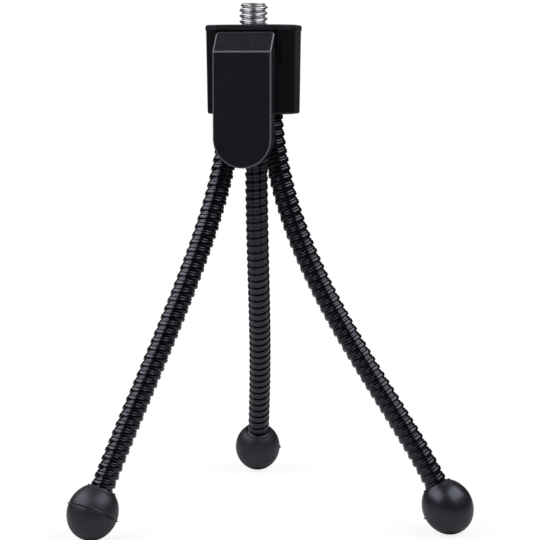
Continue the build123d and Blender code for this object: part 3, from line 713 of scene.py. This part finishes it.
def surface_group():
    """Shade, roughness and height from three noises at the scale of grain, of handling and of dust."""
    group = bpy.data.node_groups.new("surface_life", "ShaderNodeTree")
    for name, value in (("Shade", 1.0), ("Roughness", 0.4), ("Grain size mm", 0.2), ("Dust", 0.1)):
        socket = group.interface.new_socket(name=name, in_out="INPUT", socket_type="NodeSocketFloat")
        socket.default_value = value
    for name in ("Shade", "Roughness", "Height"):
        group.interface.new_socket(name=name, in_out="OUTPUT", socket_type="NodeSocketFloat")
    link = group.links.new
    entry = group.nodes.new("NodeGroupInput")
    leave = group.nodes.new("NodeGroupOutput")
    place = group.nodes.new("ShaderNodeTexCoord")
    per_metre = add(group, "ShaderNodeMath", operation="DIVIDE")
    per_metre.inputs[0].default_value = MM_PER_METRE
    link(entry.outputs["Grain size mm"], per_metre.inputs[1])
    grain = add(group, "ShaderNodeTexNoise", Detail=2.0)
    clouds = add(group, "ShaderNodeTexNoise", Scale=CLOUD_SCALE, Detail=4.0)
    specks = add(group, "ShaderNodeTexNoise", Scale=SPECK_SCALE, Detail=1.0)
    for noise in (grain, clouds, specks):
        link(place.outputs["Object"], noise.inputs["Vector"])
    link(per_metre.outputs[0], grain.inputs["Scale"])
    dust = ramp(group, specks.outputs["Fac"], DUST_ENDS, DUST_AMOUNTS)
    dusted = add(group, "ShaderNodeMath", operation="MULTIPLY")
    link(dust, dusted.inputs[0])
    link(entry.outputs["Dust"], dusted.inputs[1])
    cloudy = ramp(group, clouds.outputs["Fac"], CLOUD_ENDS, CLOUD_SHADES)
    shade = add(group, "ShaderNodeMath", operation="MULTIPLY_ADD")
    link(cloudy, shade.inputs[0])
    link(entry.outputs["Shade"], shade.inputs[1])
    link(dusted.outputs[0], shade.inputs[2])
    rough = add(group, "ShaderNodeMath", operation="MULTIPLY")
    link(cloudy, rough.inputs[0])
    link(entry.outputs["Roughness"], rough.inputs[1])
    link(shade.outputs[0], leave.inputs["Shade"])
    link(rough.outputs[0], leave.inputs["Roughness"])
    link(grain.outputs["Fac"], leave.inputs["Height"])
    return group


life = surface_group()
print("node group", life.name, "with", len(life.nodes), "nodes")


# %% [markdown]
# ## Black plastic, black enamel, black rubber
#
# The head is satin plastic, its plate is duller, and the clip is a little greyer.  The clip's edges are
# painted paler, partly as wear from hands and partly as a painted highlight where its roundings catch the
# light.  The flat wire is satin enamel.  The round wire lies deeper, where nothing rubs it, so a clear coat
# keeps it glossier.  The core in the gaps is painted shade: near-black, without shine.  The feet are
# rubber, the right one smoothed by rubbing.  The screw is bright zinc and the hidden pieces are steel.
# Each could be its own tree of nodes, but they differ only in a few numbers, so one function makes them
# all.  These blacks are so dark that their shine gives them their colour in the picture: it is slightly
# blue.

# %% One function for every finish
COOL_SHINE = (0.78, 0.81, 1.0, 1)


def finish(name, colour, roughness, grain_mm, relief_mm, dust=0.0, metallic=0.0, specular=0.5,
           coat=0.0, coat_roughness=0.1, edge_wear_and_highlight_colour=None):
    """A Principled material whose colour, roughness and bump come from the surface group."""
    material = bpy.data.materials.new(name)
    material.use_nodes = True
    tree = material.node_tree
    shader = tree.nodes["Principled BSDF"]
    shader.inputs["Metallic"].default_value = metallic
    shader.inputs["Specular IOR Level"].default_value = specular
    if not metallic:
        shader.inputs["Specular Tint"].default_value = COOL_SHINE
    shader.inputs["Coat Weight"].default_value = coat
    shader.inputs["Coat Roughness"].default_value = coat_roughness
    detail = tree.nodes.new("ShaderNodeGroup")
    detail.node_tree = life
    detail.inputs["Roughness"].default_value = roughness
    detail.inputs["Grain size mm"].default_value = grain_mm
    detail.inputs["Dust"].default_value = dust
    tint = add(tree, "ShaderNodeMix", data_type="RGBA", blend_type="MULTIPLY")
    tint.inputs["Factor"].default_value = 1.0
    tint.inputs["A"].default_value = (*colour, 1)
    tree.links.new(detail.outputs["Shade"], tint.inputs["B"])
    tree.links.new(tint.outputs["Result"], shader.inputs["Base Color"])
    # Wear and painted highlight: where the edge number is high, the colour is mixed towards a paler one.
    if edge_wear_and_highlight_colour:
        edge = add(tree, "ShaderNodeAttribute", attribute_name="edge")
        wear_and_highlight_share = add(tree, "ShaderNodeMath", operation="MULTIPLY")
        tree.links.new(edge.outputs["Fac"], wear_and_highlight_share.inputs[0])
        tree.links.new(detail.outputs["Shade"], wear_and_highlight_share.inputs[1])
        wear_and_highlight_mix = add(tree, "ShaderNodeMix", data_type="RGBA", B=(*edge_wear_and_highlight_colour, 1))
        tree.links.new(wear_and_highlight_share.outputs[0], wear_and_highlight_mix.inputs["Factor"])
        tree.links.new(tint.outputs["Result"], wear_and_highlight_mix.inputs["A"])
        tree.links.new(wear_and_highlight_mix.outputs["Result"], shader.inputs["Base Color"])
    tree.links.new(detail.outputs["Roughness"], shader.inputs["Roughness"])
    bump = add(tree, "ShaderNodeBump", Strength=1.0, Distance=relief_mm * MM)
    tree.links.new(detail.outputs["Height"], bump.inputs["Height"])
    tree.links.new(bump.outputs["Normal"], shader.inputs["Normal"])
    return material


head_black = finish("moulded_head_black", (0.0028, 0.0028, 0.0036), 0.31, 0.22, 0.005, dust=0.2,
                    specular=0.45)
plate_black = finish("moulded_plate_black", (0.0060, 0.0060, 0.0068), 0.42, 0.22, 0.008, dust=0.3)
# The clip's paler edge colour is partly wear and partly a painted highlight.
clip_black = finish("moulded_clip_black", (0.0125, 0.0128, 0.0168), 0.26, 0.24, 0.006, dust=0.2,
                    specular=0.28, edge_wear_and_highlight_colour=(0.150, 0.153, 0.170))
enamel = finish("wire_black_enamel", (0.0010, 0.0010, 0.0014), 0.21, 0.5, 0.003, specular=0.6)
deep_enamel = finish("deep_wire_enamel", (0.0010, 0.0010, 0.0014), 0.15, 0.5, 0.002, specular=0.6, coat=0.5,
                     coat_roughness=0.1)
# Painted shade: the core in the gaps is near-black with no shine, so the gaps stay dark under any light.
shadow_black = finish("gap_black", (0.0004, 0.0004, 0.0004), 0.9, 0.3, 0.0, specular=0.0)
rubber = finish("foot_rubber_black", (0.0110, 0.0110, 0.0145), 0.44, 0.24, 0.008, dust=0.3)
rubbed_rubber = finish("rubbed_foot_rubber", (0.0100, 0.0100, 0.0135), 0.32, 0.24, 0.005, dust=0.2)
zinc = finish("screw_zinc", (0.66, 0.66, 0.70), 0.29, 0.4, 0.0006, metallic=1.0)
steel = finish("inner_steel", (0.42, 0.42, 0.41), 0.3, 0.3, 0.004, metallic=1.0)
print("materials:", [material.name for material in bpy.data.materials if material.users])


# %% Give each piece its finish
def dress(piece, *materials):
    """Fill a piece's material slots, in the order of its face numbers."""
    piece.data.materials.clear()
    for material in materials:
        piece.data.materials.append(material)


for piece in goosenecks:
    dress(piece, enamel, deep_enamel, shadow_black)
for piece, material in zip(feet, (rubber, rubber, rubbed_rubber)):
    dress(piece, material)
dress(screw, zinc)
dress(spring, steel)
dress(lever, clip_black)
dress(ribs, *[clip_black] * len(rib_sets))
plain_finishes = {"head_housing": head_black, "top_plate": plate_black,
                  "clip_pin": steel, "leg_clamp_plate": steel, "clamp_screws": steel}
plain_finishes.update({leg + "_leg_ferrule": steel for leg in LEGS})
for name, material in plain_finishes.items():
    for slot in frame["nodes"][name].material_slots:
        slot.material = material
print("carried-over solids:", sorted(plain_finishes))


# %% [markdown]
# ## The floor
#
# The photograph has a pure white ground.  White paper would give it, but so much white would light the
# black legs from below more than the picture shows.  So the floor answers the camera and the other light
# rays in two ways.  To the camera it mostly glows white, and the share that is paint carries faint
# shadows, so that the feet stand on something.  To everything else it is grey paint with painted light on
# it: palest near the feet and dark further out.  That painted light is what the rear leg and the undersides
# of the balls reflect.

# %% Floor
FLOOR_SIDE = 6.0
FLOOR_ROUGHNESS = 0.7
LIGHT_POOL_R = (0.09, 0.22)
# Painted light: the paint's shade near the feet and far out.
PAINTED_POOL_SHADES = (0.60, 0.10)
GLOW_STRENGTHS = (1.14, 1.34)
GLOW_SHARE = 0.75
bpy.ops.mesh.primitive_plane_add(size=FLOOR_SIDE, location=(0, 0, 0))
floor = bpy.context.object
floor.name = "floor"
floor_paint = bpy.data.materials.new("floor_white")
floor_paint.use_nodes = True
tree = floor_paint.node_tree
painted = tree.nodes["Principled BSDF"]
spread = tree.nodes.new("ShaderNodeTexCoord")
reach = add(tree, "ShaderNodeVectorMath", operation="LENGTH")
tree.links.new(spread.outputs["Object"], reach.inputs[0])
# Painted light: the floor's paint is palest near the feet and darkens further out.
painted_light_pool = ramp(tree, reach.outputs["Value"], LIGHT_POOL_R, PAINTED_POOL_SHADES, smooth=True)
tree.links.new(painted_light_pool, painted.inputs["Base Color"])
painted.inputs["Roughness"].default_value = FLOOR_ROUGHNESS
glow = tree.nodes.new("ShaderNodeEmission")
whiteness = ramp(tree, reach.outputs["Value"], LIGHT_POOL_R, GLOW_STRENGTHS, smooth=True)
tree.links.new(whiteness, glow.inputs["Strength"])
path = tree.nodes.new("ShaderNodeLightPath")
share = add(tree, "ShaderNodeMath", operation="MULTIPLY")
share.inputs[1].default_value = GLOW_SHARE
mixed = tree.nodes.new("ShaderNodeMixShader")
tree.links.new(path.outputs["Is Camera Ray"], share.inputs[0])
tree.links.new(share.outputs[0], mixed.inputs[0])
tree.links.new(painted.outputs[0], mixed.inputs[1])
tree.links.new(glow.outputs[0], mixed.inputs[2])
tree.links.new(mixed.outputs[0], tree.nodes["Material Output"].inputs["Surface"])
floor.data.materials.append(floor_paint)
floor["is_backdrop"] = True
print("floor:", FLOOR_SIDE, "m wide, pale to", LIGHT_POOL_R[0], "m from the tripod's middle")

# %% [markdown]
# ## The room
#
# Black gloss shows what stands round it rather than its own colour.  Here that is a dark room with a
# narrow pale backdrop behind the tripod, which shows where a surface is seen edge-on.  A picture of a
# real studio could be wrapped round the scene, but this room is simple enough for a formula: how pale it
# is depends only on the cosine between a direction and the way to the camera.  A Light Path node then
# gives the camera plain white, reflections this room, and all other rays a dim even light.

# %% World
BACKDROP_COSINES = (-0.99, -0.86)
BACKDROP_SHADES = (0.3, 0.03)
EVEN_LIGHT = 0.08
world = bpy.data.worlds.new("dark_room")
bpy.context.scene.world = world
world.use_nodes = True
tree = world.node_tree
background = tree.nodes["Background"]
path = tree.nodes.new("ShaderNodeLightPath")
way = tree.nodes.new("ShaderNodeTexCoord")
flat = add(tree, "ShaderNodeVectorMath", operation="MULTIPLY")
flat.inputs[1].default_value = (1, 1, 0)
level = add(tree, "ShaderNodeVectorMath", operation="NORMALIZE")
facing = add(tree, "ShaderNodeVectorMath", operation="DOT_PRODUCT")
facing.inputs[1].default_value = (math.sin(VIEW_AZIMUTH), -math.cos(VIEW_AZIMUTH), 0)
tree.links.new(way.outputs["Generated"], flat.inputs[0])
tree.links.new(flat.outputs[0], level.inputs[0])
tree.links.new(level.outputs[0], facing.inputs[0])
backdrop = ramp(tree, facing.outputs["Value"], BACKDROP_COSINES, BACKDROP_SHADES, smooth=True)
for_diffuse = add(tree, "ShaderNodeMix", data_type="FLOAT")
for_diffuse.inputs["A"].default_value = EVEN_LIGHT
tree.links.new(path.outputs["Is Glossy Ray"], for_diffuse.inputs["Factor"])
tree.links.new(backdrop, for_diffuse.inputs["B"])
for_camera = add(tree, "ShaderNodeMix", data_type="FLOAT")
for_camera.inputs["B"].default_value = 1.0
tree.links.new(path.outputs["Is Camera Ray"], for_camera.inputs["Factor"])
tree.links.new(for_diffuse.outputs["Result"], for_camera.inputs["A"])
tree.links.new(for_camera.outputs["Result"], background.inputs["Strength"])
background.inputs["Color"].default_value = (1, 1, 1, 1)
print("world:", world.name, "with", len(tree.nodes), "nodes")


# %% [markdown]
# ## Two soft boxes
#
# The photograph has one large soft light on each side, above the tripod.  Where they stand can be read
# off the rubber balls: a highlight lies where the surface faces half-way between its lamp and the camera.
# A sun lamp would make hard, small highlights, so each is an area light as wide as a soft box.

# %% Lights
def soft_light(name, place, target, width, height, watts):
    """An area light at a place, aimed at a target."""
    lamp = bpy.data.lights.new(name, "AREA")
    lamp.shape = "RECTANGLE"
    lamp.size = width
    lamp.size_y = height
    lamp.energy = watts
    light = bpy.data.objects.new(name, lamp)
    light.location = place
    light.rotation_mode = "QUATERNION"
    light.rotation_quaternion = (Vector(target) - Vector(place)).to_track_quat("-Z", "Y")
    bpy.context.scene.collection.objects.link(light)
    return light


# Turn from the camera's side and climb above the floor, in degrees, then distance, width, height and power
SOFT_BOXES = {
    "left_soft_box": (-78, 43, 0.50, 0.70, 0.36, 2.8),
    "right_soft_box": (68, 51, 0.50, 0.60, 0.36, 2.6),
}
aim = (0.0, 0.0, 0.055)
for name, (turn_deg, climb_deg, away, width, height, watts) in SOFT_BOXES.items():
    turn = VIEW_AZIMUTH + math.radians(turn_deg)
    climb = math.radians(climb_deg)
    level_away = away * math.cos(climb)
    place = (level_away * math.sin(turn), -level_away * math.cos(turn), aim[2] + away * math.sin(climb))
    soft_light(name, place, aim, width, height, watts)

# %% [markdown]
# ## The camera
#
# The picture was taken from close by, a little to the right and from slightly above.  The camera's place
# was worked out from the photograph: the three feet give the turn and the tilt, and the screw's width
# gives the scale.

# %% Camera
LENS_MM = 120
SENSOR_MM = 36
NEAREST_SEEN = 0.01
CAMERA_PLACE = (0.08883, -0.39726, 0.10125)
CAMERA_DOWN_DEG = 6.42
camera_data = bpy.data.cameras.new("camera")
camera_data.lens = LENS_MM
camera_data.sensor_width = SENSOR_MM
camera_data.clip_start = NEAREST_SEEN
camera = bpy.data.objects.new("camera", camera_data)
camera.location = CAMERA_PLACE
camera.rotation_euler = (math.radians(90 - CAMERA_DOWN_DEG), 0, VIEW_AZIMUTH)
bpy.context.scene.collection.objects.link(camera)
bpy.context.scene.camera = camera
bpy.context.scene.view_settings.view_transform = "Standard"
print("camera at", [round(v, 3) for v in camera.location])

# %% [markdown]
# ## The dressed tripod's size
#
# The dressed tripod has to stay as large as the imported one.  Its visual box is printed in millimetres.

# %% Print the dressed tripod's box
low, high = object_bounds()
print("visual box in mm:", [round((b - a) / MM, 1) for a, b in zip(low, high)])
